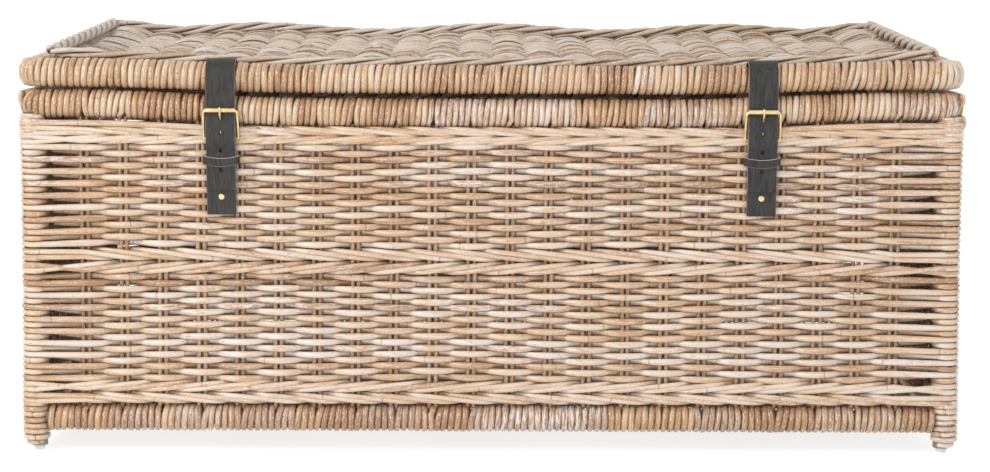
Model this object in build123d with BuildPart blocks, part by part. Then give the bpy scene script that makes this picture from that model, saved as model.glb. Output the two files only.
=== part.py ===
"""Wicker storage trunk: a pole frame wrapped in rattan, woven panels, a hinged lid, two buckled straps.

Millimetres, +Z up. The front, with the straps, faces -Y. The origin is on the floor under the middle.
"""

from build123d import *
import os

os.makedirs("parts", exist_ok=True)

# ---- driving dimensions of the whole trunk ----
WIDTH = 1000.0
DEPTH = 500.0
RIM_R = 15.8
RIM_POLE_R = 10.0
SIDE_POLE_R = 9.5
POST_R = 14.8
POST_POLE_R = 9.0
RAIL_R = 14.3
RAIL_POLE_R = 8.5
FIT = 0.2
GAP = 0.4

# ---- heights above the floor ----
GLIDE_H = 5.5
RAIL_Z = 36.5
BODY_RIM_Z = 373.5
LID_RIM_Z = 406.5
BODY_SAG = 8.5
LID_SAG = 6.0
SAG_OUTER_X = 440.0
SAG_INNER_X = 180.0

# ---- woven panels ----
PANEL_T = 12.0
PANEL_FRONT_INSET = 6.5
BASE_T = 10.0
BASE_Z = 40.0
LID_PANEL_Z = 399.5
LID_PANEL_T = 8.0
LID_CROWN_T = 8.0
BORDER_R = 6.5
BORDER_INSET = 36.5
BORDER_RISE = 15.8
SIDE_BORDER_INSET = 32.0
SIDE_BORDER_LIFT = 5.0
BACK_BORDER_LIFT = 2.0
BORDER_END = 3.0
CROSS_POLE_R = 8.0
CROSS_POLE_X = 250.0
LID_BAR_R = 5.0
LID_BAR_X = 160.0

# ---- glides under the posts ----
GLIDE_R = 6.8
GLIDE_FACE_R = 4.5

# ---- straps and buckles ----
STRAP_X = 285.0
STRAP_W = 31.0
STRAP_T = 2.4
STRAP_CLEAR = 0.6
TAIL_Z = 285.0
TAB_END_Y = -182.0
TAB_BEND_R = 3.0
BULGE_Y = -254.6
BULGE_TOP_Z = 366.5
BULGE_HIGH = 19.0
BULGE_LOW = 6.0
BULGE_END = 16.0
BULGE_RADII = [20.0, 15.0, 10.0, 10.0]
TAIL_Y = -250.6
HOLE_R = 2.2
HOLE_Z = (305.5, 326.0, 345.2)
PRONG_HOLE_Z = 359.8
PRONG_HOLE_LENGTH = 10.0
SLOT_W = 34.0
SLOT_DEPTH = 6.0
BASE_STRAP_T = 2.2
BASE_STRAP_Y = -247.9
BASE_STRAP_END_Z = 257.5
HEEL_Z = 338.5
HEEL_R = 1.5
EYE_BORE_R = 1.8
EYE_R = 4.0
BAR_Y = -256.0
BAR_Z = 369.0
BAR_R = 2.6
BAR_HALF_W = 15.5
FRAME_CORNER_R = 4.5
WIRE_R = 1.5
FRAME_HALF_W = 18.0
PRONG_R = 1.1
PRONG_EYE_BORE_R = 1.7
PRONG_EYE_R = 3.2
PRONG_EYE_W = 3.0
PRONG_TIP_Z = 372.5
PRONG_BEND_DOWN = 4.0
PRONG_BEND_R = 8.0
PRONG_BACK_Y = -251.7
PRONG_BACK_LOW_Z = 344.0
PRONG_BACK_HIGH_Z = 356.0
PRONG_SLOT_W = 5.0
KEEPER_Z = 315.5
KEEPER_H = 9.0
KEEPER_T = 1.5
KEEPER_SIDE_GAP = 1.1
STUD_R = 1.6
STUD_HEAD_R = 3.3
STUD_HEAD_T = 1.4
BODY_STUD_Z = 276.5
LID_STUD_Y = -194.0

# ---- hinge straps at the back ----
HINGE_X = (-320.0, 0.0, 320.0)
HINGE_W = 32.0
HINGE_T = 2.5
HINGE_GAP = 2.0
HINGE_LID_H = 27.0
HINGE_BODY_H = 40.0

# ---- derived places ----
RIM_X = WIDTH / 2 - RIM_R
RIM_Y = DEPTH / 2 - RIM_R
POST_X = WIDTH / 2 - POST_R
POST_Y = DEPTH / 2 - POST_R
POLE_END_X = RIM_X + 7.5
RIM_BOTTOM_Z = BODY_RIM_Z - RIM_R
RAIL_END_X = POST_X - POST_R - GAP
RAIL_END_Y = POST_Y - POST_R - GAP
SIDE_WRAP_END_Y = RIM_Y - RIM_R - GAP
PANEL_FRONT_Y = -DEPTH / 2 + PANEL_FRONT_INSET
PANEL_MID_Y = PANEL_FRONT_Y + PANEL_T / 2
PANEL_SIDE_X = WIDTH / 2 - PANEL_FRONT_INSET - PANEL_T / 2
PANEL_BOTTOM_Z = RAIL_Z + RAIL_R + GAP
PANEL_TOP_Z = RIM_BOTTOM_Z - 1.0
BORDER_X = WIDTH / 2 - SIDE_BORDER_INSET
BORDER_Y = DEPTH / 2 - BORDER_INSET
BORDER_Z = LID_RIM_Z + BORDER_RISE
HINGE_Z = (BODY_RIM_Z + LID_RIM_Z) / 2
HINGE_Y = DEPTH / 2 + 0.3 + HINGE_T / 2
SAG_SHARE = (SAG_OUTER_X - STRAP_X) / (SAG_OUTER_X - SAG_INNER_X)
STRAP_RIM_Z = LID_RIM_Z - LID_SAG * SAG_SHARE
STRAP_WRAP_R = RIM_R + STRAP_CLEAR + STRAP_T / 2


def save(shape, name):
    """Labels a finished piece and writes it as its own STEP file."""
    shape.label = name
    export_step(shape, f"parts/{name}.step")


def sag_points(end_x, y, z, sag):
    """Corner points of a front rail's line, level at both ends and lower in the middle."""
    return [
        (-end_x, y, z),
        (-SAG_OUTER_X, y, z),
        (-SAG_INNER_X, y, z - sag),
        (SAG_INNER_X, y, z - sag),
        (SAG_OUTER_X, y, z),
        (end_x, y, z),
    ]


def sag_radii(end_x, sag):
    """Bend radii of that line, each as large as its two runs allow."""
    half_turn = sag / (SAG_INNER_X - SAG_OUTER_X) / 2
    outer = 0.45 * (end_x - SAG_OUTER_X) / abs(half_turn)
    inner = 0.45 * (SAG_OUTER_X - SAG_INNER_X) / abs(half_turn)
    return [outer, inner, inner, outer]


def sagged_rod(end_x, y, z, sag, radius):
    """A round rod along a front rail's sagging line, as a loose solid."""
    with BuildPart(mode=Mode.PRIVATE) as rod:
        with BuildLine() as line:
            FilletPolyline(*sag_points(end_x, y, z, sag), radius=sag_radii(end_x, sag))
        with BuildSketch(Plane(origin=line.line @ 0, z_dir=line.line % 0)):
            Circle(radius)
        sweep(path=line.line)
    return rod.part


def rod_x(x0, x1, y, z, radius):
    """A round rod along X, as a loose solid."""
    with BuildPart(Plane.YZ.offset(x0), mode=Mode.PRIVATE) as rod:
        with BuildSketch(Plane.YZ.offset(x0)):
            with Locations((y, z)):
                Circle(radius)
        extrude(amount=x1 - x0)
    return rod.part


def rod_y(y0, y1, x, z, radius):
    """A round rod along Y, as a loose solid."""
    with BuildPart(mode=Mode.PRIVATE) as rod:
        with BuildSketch(Plane.XZ.offset(-y1)):
            with Locations((x, z)):
                Circle(radius)
        extrude(amount=y1 - y0)
    return rod.part


def rod_z(z0, z1, x, y, radius):
    """A round rod along Z, as a loose solid."""
    with BuildPart(mode=Mode.PRIVATE) as rod:
        with BuildSketch(Plane.XY.offset(z0)):
            with Locations((x, y)):
                Circle(radius)
        extrude(amount=z1 - z0)
    return rod.part


# ---- corner posts, their wraps and their glides ----
CORNERS = {
    "front_left": (-1, -1),
    "front_right": (1, -1),
    "back_left": (-1, 1),
    "back_right": (1, 1),
}
for corner, (sx, sy) in CORNERS.items():
    with BuildPart() as post:
        with BuildSketch(Plane.XY.offset(GLIDE_H)):
            with Locations((sx * POST_X, sy * POST_Y)):
                Circle(POST_POLE_R)
        extrude(amount=BODY_RIM_Z - RIM_POLE_R - FIT - GLIDE_H)
    save(post.part, f"{corner}_post")

    with BuildPart() as post_wrap:
        with BuildSketch(Plane.XY.offset(GLIDE_H)):
            with Locations((sx * POST_X, sy * POST_Y)):
                Circle(POST_R)
        extrude(amount=RIM_BOTTOM_Z - GAP - GLIDE_H)
        fillet(post_wrap.edges().group_by(Axis.Z)[0], radius=5.0)
        add(
            rod_z(0, BODY_RIM_Z, sx * POST_X, sy * POST_Y, POST_POLE_R + FIT),
            mode=Mode.SUBTRACT,
        )
        ends_x = sorted((sx * (POST_X - POST_R - 1), sx * POST_X))
        add(rod_x(*ends_x, sy * POST_Y, RAIL_Z, RAIL_POLE_R + FIT), mode=Mode.SUBTRACT)
        ends_y = sorted((sy * (POST_Y - POST_R - 1), sy * POST_Y))
        add(rod_y(*ends_y, sx * POST_X, RAIL_Z, RAIL_POLE_R + FIT), mode=Mode.SUBTRACT)
    save(post_wrap.part, f"{corner}_post_wrap")

with BuildPart() as foot_glides:
    with Locations(*[(sx * POST_X, sy * POST_Y, 0) for sx, sy in CORNERS.values()]):
        Cone(
            GLIDE_FACE_R,
            GLIDE_R,
            GLIDE_H - FIT,
            align=(Align.CENTER, Align.CENTER, Align.MIN),
        )
save(foot_glides.part, "foot_glides")

# ---- rim frames of body and lid: four poles joined at the corners, with wraps round them ----
RIMS = {"body_rim": (BODY_RIM_Z, BODY_SAG), "lid_rim": (LID_RIM_Z, LID_SAG)}
for rim, (rim_z, sag) in RIMS.items():
    front_pole = sagged_rod(POLE_END_X, -RIM_Y, rim_z, sag, RIM_POLE_R)
    back_pole = rod_x(-POLE_END_X, POLE_END_X, RIM_Y, rim_z, RIM_POLE_R)
    with BuildPart() as frame:
        add(front_pole)
        add(back_pole)
        for sx in (-1, 1):
            add(rod_y(-RIM_Y, RIM_Y, sx * RIM_X, rim_z, SIDE_POLE_R))
    save(frame.part, f"{rim}_frame")

    bore_end = POLE_END_X + FIT
    bore_r = RIM_POLE_R + FIT
    long_rods = {
        "front": (
            -1,
            sagged_rod(RIM_X, -RIM_Y, rim_z, sag, RIM_R),
            sagged_rod(bore_end, -RIM_Y, rim_z, sag, bore_r),
        ),
        "back": (
            1,
            rod_x(-RIM_X, RIM_X, RIM_Y, rim_z, RIM_R),
            rod_x(-bore_end, bore_end, RIM_Y, rim_z, bore_r),
        ),
    }
    for side, (sy, outside, bore) in long_rods.items():
        inward = sorted((sy * RIM_Y, sy * (RIM_Y - RIM_R - 1)))
        with BuildPart() as wrap:
            add(outside)
            with Locations((-RIM_X, sy * RIM_Y, rim_z), (RIM_X, sy * RIM_Y, rim_z)):
                Sphere(RIM_R)
            add(bore, mode=Mode.SUBTRACT)
            for sx in (-1, 1):
                side_hole = rod_y(*inward, sx * RIM_X, rim_z, SIDE_POLE_R + FIT)
                add(side_hole, mode=Mode.SUBTRACT)
                if rim == "body_rim":
                    post_hole = rod_z(
                        rim_z - RIM_R - 1, rim_z, sx * POST_X, sy * POST_Y, POST_POLE_R + FIT
                    )
                    add(post_hole, mode=Mode.SUBTRACT)
            if side == "back":
                for x in HINGE_X:
                    stud_hole = rod_y(RIM_Y, DEPTH / 2 + 1, x, rim_z, STUD_R + FIT)
                    add(stud_hole, mode=Mode.SUBTRACT)
        save(wrap.part, f"{rim}_{side}_wrap")

    for side, sx in (("left", -1), ("right", 1)):
        with BuildPart() as wrap:
            add(rod_y(-SIDE_WRAP_END_Y, SIDE_WRAP_END_Y, sx * RIM_X, rim_z, RIM_R))
            side_bore = rod_y(-RIM_Y, RIM_Y, sx * RIM_X, rim_z, SIDE_POLE_R + FIT)
            add(side_bore, mode=Mode.SUBTRACT)
        save(wrap.part, f"{rim}_{side}_wrap")

# ---- bottom rails between the posts, and their wraps ----
pole_end_x = POST_X - POST_POLE_R - FIT
pole_end_y = POST_Y - POST_POLE_R - FIT
for side, sy in (("front", -1), ("back", 1)):
    with BuildPart() as rail:
        add(rod_x(-pole_end_x, pole_end_x, sy * POST_Y, RAIL_Z, RAIL_POLE_R))
    save(rail.part, f"{side}_bottom_rail")
    with BuildPart() as wrap:
        add(rod_x(-RAIL_END_X, RAIL_END_X, sy * POST_Y, RAIL_Z, RAIL_R))
        rail_bore = rod_x(-POST_X, POST_X, sy * POST_Y, RAIL_Z, RAIL_POLE_R + FIT)
        add(rail_bore, mode=Mode.SUBTRACT)
    save(wrap.part, f"{side}_bottom_rail_wrap")
for side, sx in (("left", -1), ("right", 1)):
    with BuildPart() as rail:
        add(rod_y(-pole_end_y, pole_end_y, sx * POST_X, RAIL_Z, RAIL_POLE_R))
    save(rail.part, f"{side}_bottom_rail")
    with BuildPart() as wrap:
        add(rod_y(-RAIL_END_Y, RAIL_END_Y, sx * POST_X, RAIL_Z, RAIL_R))
        rail_bore = rod_y(-POST_Y, POST_Y, sx * POST_X, RAIL_Z, RAIL_POLE_R + FIT)
        add(rail_bore, mode=Mode.SUBTRACT)
    save(wrap.part, f"{side}_bottom_rail_wrap")

# ---- woven walls: the stakes and weavers of one wall are one slab ----
with BuildPart() as front_panel:
    with BuildSketch(Plane.XZ.offset(-PANEL_FRONT_Y)):
        with BuildLine():
            Polyline(
                (-RAIL_END_X, PANEL_BOTTOM_Z),
                (RAIL_END_X, PANEL_BOTTOM_Z),
                (RAIL_END_X, PANEL_TOP_Z),
                (SAG_OUTER_X, PANEL_TOP_Z),
                (SAG_INNER_X, PANEL_TOP_Z - BODY_SAG),
                (-SAG_INNER_X, PANEL_TOP_Z - BODY_SAG),
                (-SAG_OUTER_X, PANEL_TOP_Z),
                (-RAIL_END_X, PANEL_TOP_Z),
                close=True,
            )
        make_face()
        with Locations((-STRAP_X, BODY_STUD_Z), (STRAP_X, BODY_STUD_Z)):
            Circle(STUD_R + FIT, mode=Mode.SUBTRACT)
    extrude(amount=-PANEL_T)
save(front_panel.part, "front_panel")

panel_mid_z = (PANEL_BOTTOM_Z + PANEL_TOP_Z) / 2
panel_h = PANEL_TOP_Z - PANEL_BOTTOM_Z
with BuildPart() as back_panel:
    with Locations((0, -PANEL_MID_Y, panel_mid_z)):
        Box(2 * RAIL_END_X, PANEL_T, panel_h)
save(back_panel.part, "back_panel")

for side, sx in (("left", -1), ("right", 1)):
    with BuildPart() as panel:
        with Locations((sx * PANEL_SIDE_X, 0, panel_mid_z)):
            Box(PANEL_T, 2 * RAIL_END_Y, panel_h)
    save(panel.part, f"{side}_panel")

# ---- woven floor on three cross poles ----
with BuildPart() as base_panel:
    with Locations((0, 0, BASE_Z + BASE_T / 2)):
        Box(2 * RAIL_END_X - 1, 2 * RAIL_END_Y - 1, BASE_T)
save(base_panel.part, "base_panel")

cross_pole_z = BASE_Z - CROSS_POLE_R - GAP
with BuildPart() as base_cross_poles:
    for x in (-CROSS_POLE_X, 0, CROSS_POLE_X):
        add(rod_y(-RAIL_END_Y, RAIL_END_Y, x, cross_pole_z, CROSS_POLE_R))
save(base_cross_poles.part, "base_cross_poles")

# ---- lid: woven panel, crowned inside its border, with a slot at each strap ----
with BuildPart() as lid_panel:
    with BuildSketch(Plane.XY.offset(LID_PANEL_Z)):
        Rectangle(2 * (RIM_X - RIM_R - GAP), 2 * SIDE_WRAP_END_Y)
        with Locations((-STRAP_X, -SIDE_WRAP_END_Y), (STRAP_X, -SIDE_WRAP_END_Y)):
            Rectangle(SLOT_W, SLOT_DEPTH * 2, mode=Mode.SUBTRACT)
        with Locations((-STRAP_X, LID_STUD_Y), (STRAP_X, LID_STUD_Y)):
            Circle(STUD_R + FIT, mode=Mode.SUBTRACT)
    extrude(amount=LID_PANEL_T)
    with BuildSketch(Plane.XY.offset(LID_PANEL_Z + LID_PANEL_T)):
        Rectangle(
            2 * (BORDER_X - BORDER_R - GAP),
            2 * (BORDER_Y - BORDER_R - GAP),
        )
        with Locations((-STRAP_X, LID_STUD_Y), (STRAP_X, LID_STUD_Y)):
            Circle(STUD_R + FIT, mode=Mode.SUBTRACT)
    extrude(amount=LID_CROWN_T)
save(lid_panel.part, "lid_panel")

lid_bar_z = LID_PANEL_Z - LID_BAR_R - FIT
with BuildPart() as lid_bars:
    for x in (-LID_BAR_X, LID_BAR_X):
        add(rod_y(-SIDE_WRAP_END_Y, SIDE_WRAP_END_Y, x, lid_bar_z, LID_BAR_R))
save(lid_bars.part, "lid_bars")

border_end_x = BORDER_X + BORDER_END
side_border_z = BORDER_Z + SIDE_BORDER_LIFT
back_border_z = BORDER_Z + BACK_BORDER_LIFT
border_end_y = BORDER_Y - BORDER_R - GAP
front_border = sagged_rod(border_end_x, -BORDER_Y, BORDER_Z, LID_SAG, BORDER_R)
with BuildPart() as lid_border:
    add(front_border)
    add(rod_x(-border_end_x, border_end_x, BORDER_Y, back_border_z, BORDER_R))
    for sx in (-1, 1):
        add(rod_y(-border_end_y, border_end_y, sx * BORDER_X, side_border_z, BORDER_R))
save(lid_border.part, "lid_border")

# ---- hinge straps: leather riveted to both rims, bending on the line between their halves ----
with BuildPart() as hinge_straps_lid:
    with Locations(*[(x, HINGE_Y, HINGE_Z + HINGE_GAP) for x in HINGE_X]):
        Box(HINGE_W, HINGE_T, HINGE_LID_H, align=(Align.CENTER, Align.CENTER, Align.MIN))
    for x in HINGE_X:
        stud_hole = rod_y(RIM_Y, DEPTH, x, LID_RIM_Z, STUD_R + FIT)
        add(stud_hole, mode=Mode.SUBTRACT)
save(hinge_straps_lid.part, "hinge_straps_lid")

with BuildPart() as hinge_straps_body:
    with Locations(*[(x, HINGE_Y, HINGE_Z - HINGE_GAP) for x in HINGE_X]):
        Box(HINGE_W, HINGE_T, HINGE_BODY_H, align=(Align.CENTER, Align.CENTER, Align.MAX))
    for x in HINGE_X:
        stud_hole = rod_y(RIM_Y, DEPTH, x, BODY_RIM_Z, STUD_R + FIT)
        add(stud_hole, mode=Mode.SUBTRACT)
save(hinge_straps_body.part, "hinge_straps_body")

stud_start_y = RIM_Y + RIM_POLE_R + FIT
strap_face_y = HINGE_Y + HINGE_T / 2
for name, rim_z in (("hinge_studs_lid", LID_RIM_Z), ("hinge_studs_body", BODY_RIM_Z)):
    with BuildPart() as studs:
        for x in HINGE_X:
            add(rod_y(stud_start_y, strap_face_y + STUD_HEAD_T, x, rim_z, STUD_R))
            add(rod_y(strap_face_y, strap_face_y + STUD_HEAD_T, x, rim_z, STUD_HEAD_R))
        heads = studs.edges().filter_by(GeomType.CIRCLE).group_by(Axis.Y)[-1]
        fillet(heads, radius=STUD_HEAD_T - 0.3)
    save(studs.part, name)


# ---- closing straps: leather, with a brass buckle on the body ----
def strap_band(x, points, radii, width, thickness):
    """A leather band of constant thickness along a line of (y, z) points, as a loose solid."""
    with BuildPart(mode=Mode.PRIVATE) as band:
        with BuildSketch(Plane.YZ.offset(x)):
            with BuildLine():
                FilletPolyline(*points, radius=radii)
                offset(amount=thickness / 2, side=Side.BOTH, kind=Kind.ARC)
            make_face()
        extrude(amount=width / 2, both=True)
    return band.part


def lid_strap(x):
    """The strap's fixed end: under the lid panel, up through its slot and over the front rim."""
    wrap_end = (-RIM_Y - STRAP_WRAP_R, STRAP_RIM_Z)
    wrap_top = (-RIM_Y, STRAP_RIM_Z + STRAP_WRAP_R)
    wrap_start = (-RIM_Y + STRAP_WRAP_R, STRAP_RIM_Z)
    tab_z = LID_PANEL_Z - STRAP_T / 2 - GAP
    with BuildPart() as strap:
        with BuildSketch(Plane.YZ.offset(x)):
            with BuildLine():
                ThreePointArc(wrap_end, wrap_top, wrap_start)
                FilletPolyline(
                    wrap_start,
                    (wrap_start[0], tab_z),
                    (TAB_END_Y, tab_z),
                    radius=TAB_BEND_R,
                )
                offset(amount=STRAP_T / 2, side=Side.BOTH)
            make_face()
        extrude(amount=STRAP_W / 2, both=True)
        tab_hole = rod_z(tab_z - STRAP_T, tab_z + STRAP_T, x, LID_STUD_Y, STUD_R + FIT)
        add(tab_hole, mode=Mode.SUBTRACT)
    return strap.part


def strap_tongue(x):
    """The strap's free end: down behind the buckle's bar, over the heel and through the keeper."""
    top = (-RIM_Y - STRAP_WRAP_R, STRAP_RIM_Z - STRAP_T - GAP)
    points = [
        top,
        (top[0], BULGE_TOP_Z),
        (BULGE_Y, HEEL_Z + BULGE_HIGH),
        (BULGE_Y, HEEL_Z - BULGE_LOW),
        (TAIL_Y, HEEL_Z - BULGE_END),
        (TAIL_Y, TAIL_Z),
    ]
    band = strap_band(x, points, BULGE_RADII, STRAP_W, STRAP_T)
    with BuildPart() as tongue:
        add(band)
        with BuildSketch(Plane.XZ.offset(-TAIL_Y)):
            with Locations(*[(x, z) for z in HOLE_Z]):
                Circle(HOLE_R)
            with Locations((x, PRONG_HOLE_Z)):
                SlotOverall(PRONG_HOLE_LENGTH, 2 * HOLE_R, rotation=90)
        extrude(amount=STRAP_T * 3, both=True, mode=Mode.SUBTRACT)
    return tongue.part


def base_strap(x):
    """Short strap riveted to the front, rolled into an eye round the buckle's heel bar."""
    with BuildPart() as strap:
        with BuildSketch(Plane.YZ.offset(x)):
            with Locations((BASE_STRAP_Y, HEEL_Z)):
                Circle(EYE_R)
            mid_z = (BASE_STRAP_END_Z + HEEL_Z) / 2
            with Locations((BASE_STRAP_Y, mid_z)):
                Rectangle(BASE_STRAP_T, HEEL_Z - BASE_STRAP_END_Z)
            with Locations((BASE_STRAP_Y, HEEL_Z)):
                Circle(EYE_BORE_R, mode=Mode.SUBTRACT)
        extrude(amount=STRAP_W / 2, both=True)
        with Locations((x, BASE_STRAP_Y, HEEL_Z)):
            Box(PRONG_SLOT_W, 3 * EYE_R, 2 * EYE_R + 2, mode=Mode.SUBTRACT)
        stud_hole = rod_y(-DEPTH / 2 - 1, PANEL_FRONT_Y, x, BODY_STUD_Z, STUD_R + FIT)
        add(stud_hole, mode=Mode.SUBTRACT)
    return strap.part


def buckle_frame(x):
    """Brass wire frame: heel bar, two sides and the roller that the prong rests on."""
    corners = [
        (x - FRAME_HALF_W, BASE_STRAP_Y, HEEL_Z),
        (x - FRAME_HALF_W, BAR_Y, BAR_Z),
        (x + FRAME_HALF_W, BAR_Y, BAR_Z),
        (x + FRAME_HALF_W, BASE_STRAP_Y, HEEL_Z),
    ]
    with BuildPart() as buckle:
        add(rod_x(x - FRAME_HALF_W, x + FRAME_HALF_W, BASE_STRAP_Y, HEEL_Z, HEEL_R))
        add(rod_x(x - BAR_HALF_W, x + BAR_HALF_W, BAR_Y, BAR_Z, BAR_R))
        with BuildLine() as wire_line:
            FilletPolyline(*corners, radius=FRAME_CORNER_R)
        with BuildSketch(Plane(origin=wire_line.line @ 0, z_dir=wire_line.line % 0)):
            Circle(WIRE_R)
        sweep(path=wire_line.line)
        with Locations(corners[0], corners[-1]):
            Sphere(WIRE_R)
    return buckle.part


def buckle_prong(x):
    """Brass prong: an eye on the heel bar and a pin that comes out over the frame's bar."""
    rest_y = BAR_Y - BAR_R - PRONG_R - FIT
    with BuildPart() as prong:
        with BuildSketch(Plane.YZ.offset(x)):
            with Locations((BASE_STRAP_Y, HEEL_Z)):
                Circle(PRONG_EYE_R)
        extrude(amount=PRONG_EYE_W / 2, both=True)
        with BuildLine() as pin_line:
            FilletPolyline(
                (x, BASE_STRAP_Y - PRONG_EYE_R + PRONG_R, HEEL_Z),
                (x, PRONG_BACK_Y, PRONG_BACK_LOW_Z),
                (x, PRONG_BACK_Y, PRONG_BACK_HIGH_Z),
                (x, rest_y, BAR_Z - PRONG_BEND_DOWN),
                (x, rest_y, PRONG_TIP_Z),
                radius=PRONG_BEND_R,
            )
        with BuildSketch(Plane(origin=pin_line.line @ 0, z_dir=pin_line.line % 0)):
            Circle(PRONG_R)
        sweep(path=pin_line.line)
        bore = rod_x(x - PRONG_EYE_W, x + PRONG_EYE_W, BASE_STRAP_Y, HEEL_Z, PRONG_EYE_BORE_R)
        add(bore, mode=Mode.SUBTRACT)
    return prong.part


def strap_keeper(x):
    """Narrow leather loop round the base strap and the tongue."""
    back_y = BASE_STRAP_Y + BASE_STRAP_T / 2 + GAP
    front_y = TAIL_Y - STRAP_T / 2 - GAP
    mid_y = (back_y + front_y) / 2
    with BuildPart() as keeper:
        with BuildSketch(Plane.XY.offset(KEEPER_Z - KEEPER_H / 2)):
            with Locations((x, mid_y)):
                RectangleRounded(
                    STRAP_W + 2 * (KEEPER_SIDE_GAP + KEEPER_T),
                    back_y - front_y + 2 * KEEPER_T,
                    KEEPER_T,
                )
                Rectangle(
                    STRAP_W + 2 * KEEPER_SIDE_GAP, back_y - front_y, mode=Mode.SUBTRACT
                )
        extrude(amount=KEEPER_H)
    return keeper.part


def body_stud(x):
    """Brass rivet through the base strap and the front panel, with a washer inside."""
    face_y = BASE_STRAP_Y - BASE_STRAP_T / 2
    inside_y = PANEL_FRONT_Y + PANEL_T
    with BuildPart() as stud:
        add(rod_y(face_y - STUD_HEAD_T, inside_y + STUD_HEAD_T, x, BODY_STUD_Z, STUD_R))
        add(rod_y(face_y - STUD_HEAD_T, face_y, x, BODY_STUD_Z, STUD_HEAD_R))
        add(rod_y(inside_y, inside_y + STUD_HEAD_T, x, BODY_STUD_Z, STUD_HEAD_R))
        fillet(
            stud.edges().filter_by(GeomType.CIRCLE).group_by(Axis.Y)[0],
            radius=STUD_HEAD_T - 0.3,
        )
    return stud.part


def lid_stud(x):
    """Brass rivet through the strap's tab and the lid panel."""
    head_z = LID_PANEL_Z - STRAP_T - GAP
    top_z = LID_PANEL_Z + LID_PANEL_T + LID_CROWN_T
    with BuildPart() as stud:
        add(rod_z(head_z - STUD_HEAD_T, top_z + STUD_HEAD_T, x, LID_STUD_Y, STUD_R))
        add(rod_z(head_z - STUD_HEAD_T, head_z, x, LID_STUD_Y, STUD_HEAD_R))
        add(rod_z(top_z, top_z + STUD_HEAD_T, x, LID_STUD_Y, STUD_HEAD_R))
    return stud.part


STRAP_PIECES = {
    "lid_strap": lid_strap,
    "strap_tongue": strap_tongue,
    "base_strap": base_strap,
    "buckle_frame": buckle_frame,
    "buckle_prong": buckle_prong,
    "strap_keeper": strap_keeper,
    "base_strap_stud": body_stud,
    "lid_strap_stud": lid_stud,
}
for side, strap_x in (("left", -STRAP_X), ("right", STRAP_X)):
    for piece, make in STRAP_PIECES.items():
        save(make(strap_x), f"{side}_{piece}")
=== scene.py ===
import math

import bmesh
import bpy
import numpy as np
from mathutils import Matrix, Vector


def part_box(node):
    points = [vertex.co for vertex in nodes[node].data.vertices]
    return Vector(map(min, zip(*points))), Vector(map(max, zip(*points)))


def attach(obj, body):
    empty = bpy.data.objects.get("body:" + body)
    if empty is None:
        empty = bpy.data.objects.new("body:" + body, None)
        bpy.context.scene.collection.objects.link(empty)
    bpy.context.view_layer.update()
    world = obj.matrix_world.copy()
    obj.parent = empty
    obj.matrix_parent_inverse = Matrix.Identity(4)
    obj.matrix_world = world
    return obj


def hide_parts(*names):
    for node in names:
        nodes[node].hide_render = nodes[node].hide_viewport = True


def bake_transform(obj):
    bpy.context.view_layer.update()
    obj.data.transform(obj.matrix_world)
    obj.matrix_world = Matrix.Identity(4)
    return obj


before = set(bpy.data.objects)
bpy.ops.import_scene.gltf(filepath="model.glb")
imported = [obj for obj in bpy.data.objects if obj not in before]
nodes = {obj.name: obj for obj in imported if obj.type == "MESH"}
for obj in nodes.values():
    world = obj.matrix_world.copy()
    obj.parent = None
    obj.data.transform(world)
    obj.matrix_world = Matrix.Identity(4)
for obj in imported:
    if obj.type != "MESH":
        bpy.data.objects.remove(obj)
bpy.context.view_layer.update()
rng = np.random.default_rng(20)
TAU = 2 * math.pi


# ---- sizes, in millimetres, read from the frame ----
def span(node):
    """Lowest and highest corner of a CAD node, in millimetres."""
    lo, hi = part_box(node)
    return np.array(lo) * 1000, np.array(hi) * 1000


def middle(node):
    lo, hi = span(node)
    return (lo + hi) / 2


POST_LO, POST_HI = span("front_right_post_wrap")
POST_R = (POST_HI[0] - POST_LO[0]) / 2
POST_X = (POST_HI[0] + POST_LO[0]) / 2
POST_Y = -(POST_HI[1] + POST_LO[1]) / 2
RIM_LO, RIM_HI = span("body_rim_back_wrap")
RIM_R = (RIM_HI[2] - RIM_LO[2]) / 2
RIM_X = RIM_HI[0] - RIM_R
RIM_Y = RIM_HI[1] - RIM_R
BODY_RIM_Z = (RIM_HI[2] + RIM_LO[2]) / 2
LID_RIM_Z = middle("lid_rim_back_wrap")[2]
BODY_SAG = RIM_LO[2] - span("body_rim_front_wrap")[0][2]
LID_SAG = span("lid_rim_back_wrap")[0][2] - span("lid_rim_front_wrap")[0][2]
RAIL_LO, RAIL_HI = span("front_bottom_rail_wrap")
RAIL_R = (RAIL_HI[2] - RAIL_LO[2]) / 2
RAIL_Z = (RAIL_HI[2] + RAIL_LO[2]) / 2
RAIL_END_X = RAIL_HI[0]
RAIL_END_Y = span("left_bottom_rail_wrap")[1][1]
BORDER_HI = span("lid_border")[1]
BORDER_R = 6.5
BORDER_X = BORDER_HI[0] - BORDER_R
BORDER_Y = BORDER_HI[1] - BORDER_R
SIDE_BORDER_Z = BORDER_HI[2] - BORDER_R
BORDER_Z = SIDE_BORDER_Z - 5.0
LID_WEAVE_Z = middle("lid_panel")[2] + 3.5
BASE_LO, BASE_HI = span("base_panel")
HALF_X, HALF_Y = 500.0, 250.0
SAG_OUTER, SAG_INNER = 440.0, 180.0

STAKE_R = 2.5
STAKE_GAP = 3.25
STAKE_INSET = 12.2
STAKE_PITCH = 40.95
LONG_STAKES = np.arange(22) * STAKE_PITCH - 431.0
SHORT_STAKES = (np.arange(10) - 4.5) * STAKE_PITCH
WEAVE_AMP = 5.3
LOOP_R = POST_R - 3.0
LOOP_STRAND_R = 3.05
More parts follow.
